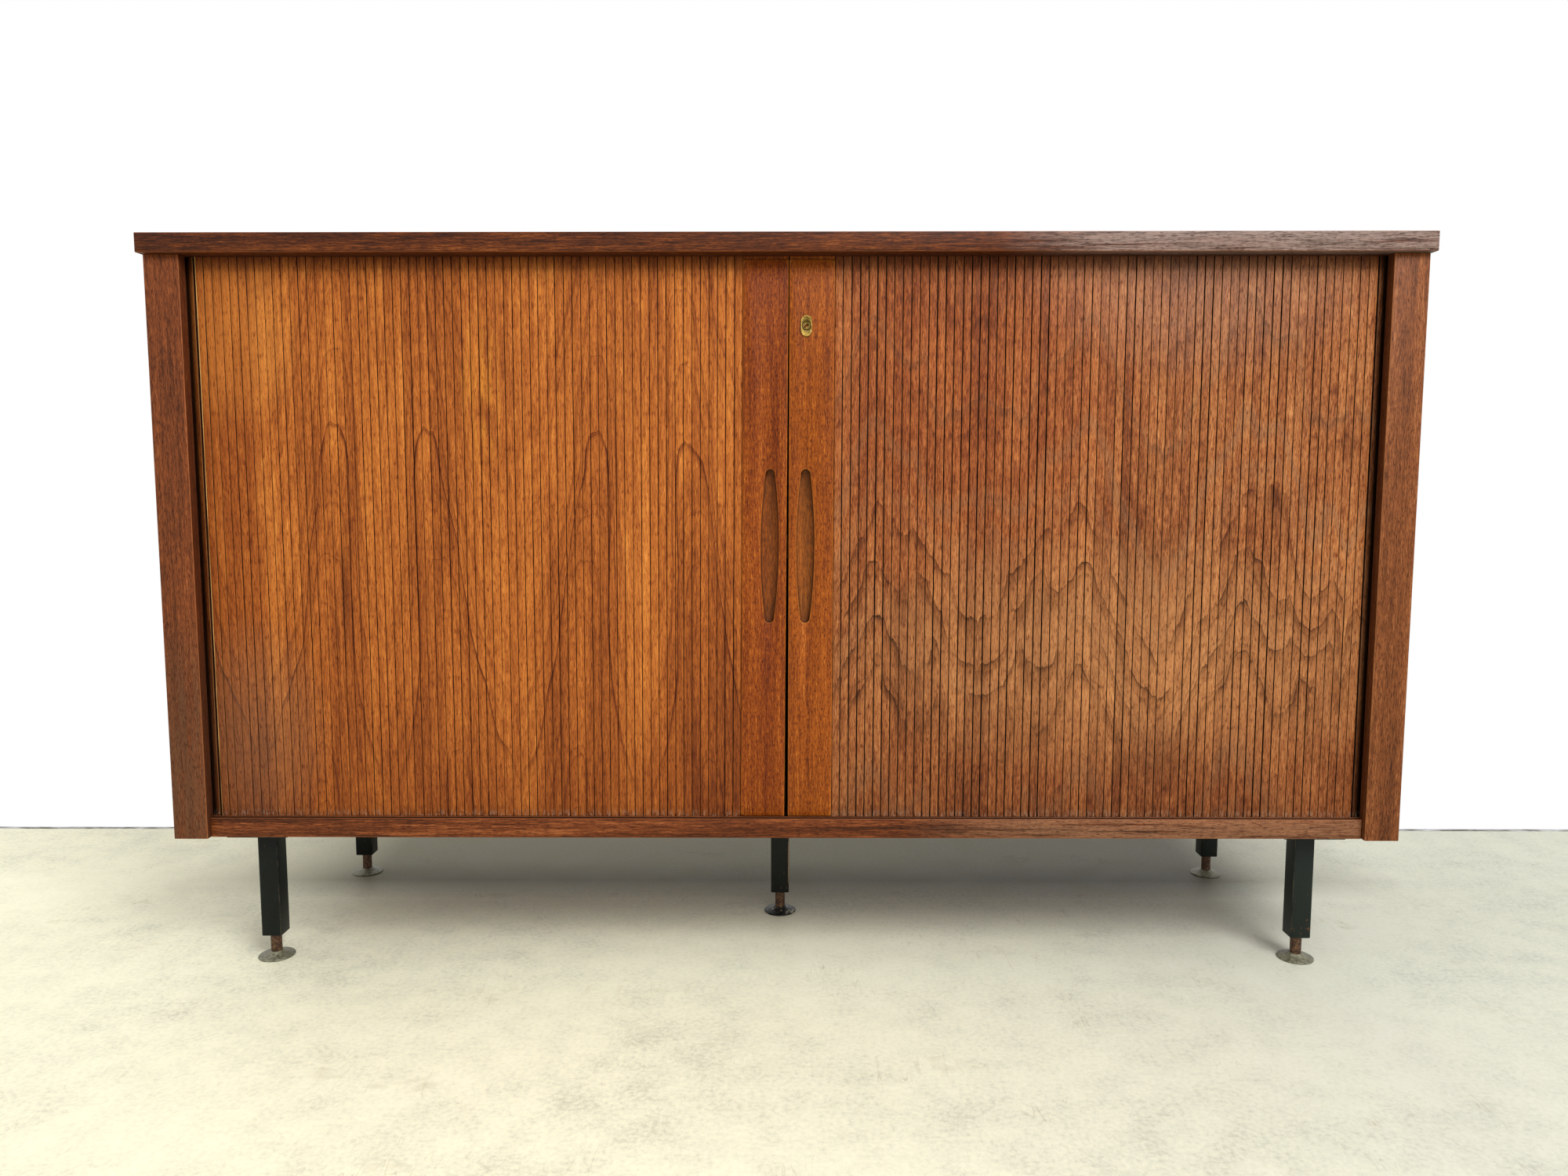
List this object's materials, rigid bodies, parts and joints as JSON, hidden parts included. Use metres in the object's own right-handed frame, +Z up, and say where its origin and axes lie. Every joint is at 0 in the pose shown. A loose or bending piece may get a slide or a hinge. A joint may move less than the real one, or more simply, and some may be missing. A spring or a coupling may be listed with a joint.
{
  "type": "tambour door cabinet",
  "caption": "Low wide wooden cabinet with two sliding tambour doors that meet in the middle, finger pulls, a lock and square tube legs on levelling feet.",
  "frame": {"origin": "middle of the cabinet's footprint, on the floor", "axes": "+X to the right seen from the front, +Y from the doors to the back, +Z up"},
  "size_m": [1.6, 0.45, 0.952],
  "materials": {
    "edge_wood": "dark red-brown stained hardwood edges and top, satin varnish, worn",
    "panel_wood": "red-brown veneered board, satin varnish",
    "inner_wood": "pale veneered board inside, matte varnish",
    "back_board": "brown hardboard, matte",
    "slat_veneer": "orange-brown figured veneer on narrow slats, satin varnish",
    "stile_wood": "red-orange solid hardwood with short pores, satin varnish",
    "leg_paint": "dark green-black paint on steel tube, edges worn",
    "raw_steel": "plain steel, dull",
    "foot_metal": "tarnished grey-green plated steel with a rusty stem",
    "lock_brass": "polished brass, slightly worn"
  },
  "bodies": {
    "carcass": {"top_panel": "edge_wood", "bottom_panel": "edge_wood", "left_post": "edge_wood", "right_post": "edge_wood", "left_side_panel": "panel_wood", "right_side_panel": "panel_wood", "back_panel": "back_board", "false_back": "inner_wood", "left_false_side": "inner_wood", "right_false_side": "inner_wood", "centre_divider": "inner_wood", "left_shelf": "inner_wood", "right_shelf": "inner_wood", "left_shelf_batten_inner": "inner_wood", "left_shelf_batten_outer": "inner_wood", "right_shelf_batten_inner": "inner_wood", "right_shelf_batten_outer": "inner_wood", "left_corner_slats": "slat_veneer", "right_corner_slats": "slat_veneer", "leg_front_left": "leg_paint", "leg_front_right": "leg_paint", "leg_rear_left": "leg_paint", "leg_rear_right": "leg_paint", "leg_centre": "leg_paint", "leg_plate_front_left": "raw_steel", "leg_plate_front_right": "raw_steel", "leg_plate_rear_left": "raw_steel", "leg_plate_rear_right": "raw_steel", "leg_plate_centre": "raw_steel"},
    "left_door": {"left_stile": "stile_wood", "strike_plate": "raw_steel"},
    "right_door": {"right_stile": "stile_wood", "lock_escutcheon": "lock_brass", "lock_case": "raw_steel"},
    "lock_cylinder": {"lock_plug": "lock_brass", "lock_cam": "raw_steel"},
    "left_curtain_1": {"left_slats_1": "slat_veneer"},
    "left_curtain_2": {"left_slats_2": "slat_veneer"},
    "left_curtain_3": {"left_slats_3": "slat_veneer"},
    "left_curtain_4": {"left_slats_4": "slat_veneer"},
    "left_curtain_5": {"left_slats_5": "slat_veneer"},
    "left_curtain_6": {"left_slats_6": "slat_veneer"},
    "left_curtain_7": {"left_slats_7": "slat_veneer"},
    "right_curtain_1": {"right_slats_1": "slat_veneer"},
    "right_curtain_2": {"right_slats_2": "slat_veneer"},
    "right_curtain_3": {"right_slats_3": "slat_veneer"},
    "right_curtain_4": {"right_slats_4": "slat_veneer"},
    "right_curtain_5": {"right_slats_5": "slat_veneer"},
    "right_curtain_6": {"right_slats_6": "slat_veneer"},
    "right_curtain_7": {"right_slats_7": "slat_veneer"},
    "front_left_foot": {"foot_front_left": "foot_metal"},
    "front_right_foot": {"foot_front_right": "foot_metal"},
    "rear_left_foot": {"foot_rear_left": "foot_metal"},
    "rear_right_foot": {"foot_rear_right": "foot_metal"},
    "centre_foot": {"foot_centre": "foot_metal"}
  },
  "joints": [
    {"name": "left_door_slide", "type": "slide", "parent": "carcass", "child": "left_door", "axis": [-1, 0, 0], "range_m": [0, 0.685]},
    {"name": "right_door_slide", "type": "slide", "parent": "carcass", "child": "right_door", "axis": [1, 0, 0], "range_m": [0, 0.6795]},
    {"name": "lock_turn", "type": "hinge", "parent": "right_door", "child": "lock_cylinder", "pos_m": [0.02732, -0.185, 0.842], "axis": [0, 1, 0], "range_deg": [0, 90]},
    {"name": "left_curtain_1_slide", "type": "slide", "parent": "carcass", "child": "left_curtain_1", "axis": [-1, 0, 0], "range_m": [0, 0.6428], "deforming": ["left_slats_1"]},
    {"name": "left_curtain_2_slide", "type": "slide", "parent": "carcass", "child": "left_curtain_2", "axis": [-1, 0, 0], "range_m": [0, 0.5456], "deforming": ["left_slats_2"]},
    {"name": "left_curtain_3_slide", "type": "slide", "parent": "carcass", "child": "left_curtain_3", "axis": [-1, 0, 0], "range_m": [0, 0.4484], "deforming": ["left_slats_3"]},
    {"name": "left_curtain_4_slide", "type": "slide", "parent": "carcass", "child": "left_curtain_4", "axis": [-1, 0, 0], "range_m": [0, 0.3458], "deforming": ["left_slats_4"]},
    {"name": "left_curtain_5_slide", "type": "slide", "parent": "carcass", "child": "left_curtain_5", "axis": [-1, 0, 0], "range_m": [0, 0.2432], "deforming": ["left_slats_5"]},
    {"name": "left_curtain_6_slide", "type": "slide", "parent": "carcass", "child": "left_curtain_6", "axis": [-1, 0, 0], "range_m": [0, 0.146], "deforming": ["left_slats_6"]},
    {"name": "left_curtain_7_slide", "type": "slide", "parent": "carcass", "child": "left_curtain_7", "axis": [-1, 0, 0], "range_m": [0, 0.0488], "deforming": ["left_slats_7"]},
    {"name": "right_curtain_1_slide", "type": "slide", "parent": "carcass", "child": "right_curtain_1", "axis": [1, 0, 0], "range_m": [0, 0.6315], "deforming": ["right_slats_1"]},
    {"name": "right_curtain_2_slide", "type": "slide", "parent": "carcass", "child": "right_curtain_2", "axis": [1, 0, 0], "range_m": [0, 0.5344], "deforming": ["right_slats_2"]},
    {"name": "right_curtain_3_slide", "type": "slide", "parent": "carcass", "child": "right_curtain_3", "axis": [1, 0, 0], "range_m": [0, 0.4372], "deforming": ["right_slats_3"]},
    {"name": "right_curtain_4_slide", "type": "slide", "parent": "carcass", "child": "right_curtain_4", "axis": [1, 0, 0], "range_m": [0, 0.3401], "deforming": ["right_slats_4"]},
    {"name": "right_curtain_5_slide", "type": "slide", "parent": "carcass", "child": "right_curtain_5", "axis": [1, 0, 0], "range_m": [0, 0.243], "deforming": ["right_slats_5"]},
    {"name": "right_curtain_6_slide", "type": "slide", "parent": "carcass", "child": "right_curtain_6", "axis": [1, 0, 0], "range_m": [0, 0.1458], "deforming": ["right_slats_6"]},
    {"name": "right_curtain_7_slide", "type": "slide", "parent": "carcass", "child": "right_curtain_7", "axis": [1, 0, 0], "range_m": [0, 0.0487], "deforming": ["right_slats_7"]},
    {"name": "front_left_foot_screw", "type": "slide", "parent": "carcass", "child": "front_left_foot", "axis": [0, 0, 1], "range_m": [-0.012, 0.018]},
    {"name": "front_right_foot_screw", "type": "slide", "parent": "carcass", "child": "front_right_foot", "axis": [0, 0, 1], "range_m": [-0.012, 0.018]},
    {"name": "rear_left_foot_screw", "type": "slide", "parent": "carcass", "child": "rear_left_foot", "axis": [0, 0, 1], "range_m": [-0.012, 0.018]},
    {"name": "rear_right_foot_screw", "type": "slide", "parent": "carcass", "child": "rear_right_foot", "axis": [0, 0, 1], "range_m": [-0.012, 0.018]},
    {"name": "centre_foot_screw", "type": "slide", "parent": "carcass", "child": "centre_foot", "axis": [0, 0, 1], "range_m": [-0.012, 0.018]}
  ],
  "couplings": [
    {"joint": "left_curtain_1_slide", "follows": "left_door_slide", "ratio": 0.93824},
    {"joint": "left_curtain_2_slide", "follows": "left_door_slide", "ratio": 0.79632},
    {"joint": "left_curtain_3_slide", "follows": "left_door_slide", "ratio": 0.6544},
    {"joint": "left_curtain_4_slide", "follows": "left_door_slide", "ratio": 0.5046},
    {"joint": "left_curtain_5_slide", "follows": "left_door_slide", "ratio": 0.3548},
    {"joint": "left_curtain_6_slide", "follows": "left_door_slide", "ratio": 0.21288},
    {"joint": "left_curtain_7_slide", "follows": "left_door_slide", "ratio": 0.07096},
    {"joint": "right_curtain_1_slide", "follows": "right_door_slide", "ratio": 0.92912},
    {"joint": "right_curtain_2_slide", "follows": "right_door_slide", "ratio": 0.78618},
    {"joint": "right_curtain_3_slide", "follows": "right_door_slide", "ratio": 0.64323},
    {"joint": "right_curtain_4_slide", "follows": "right_door_slide", "ratio": 0.50029},
    {"joint": "right_curtain_5_slide", "follows": "right_door_slide", "ratio": 0.35735},
    {"joint": "right_curtain_6_slide", "follows": "right_door_slide", "ratio": 0.21441},
    {"joint": "right_curtain_7_slide", "follows": "right_door_slide", "ratio": 0.07147}
  ]
}
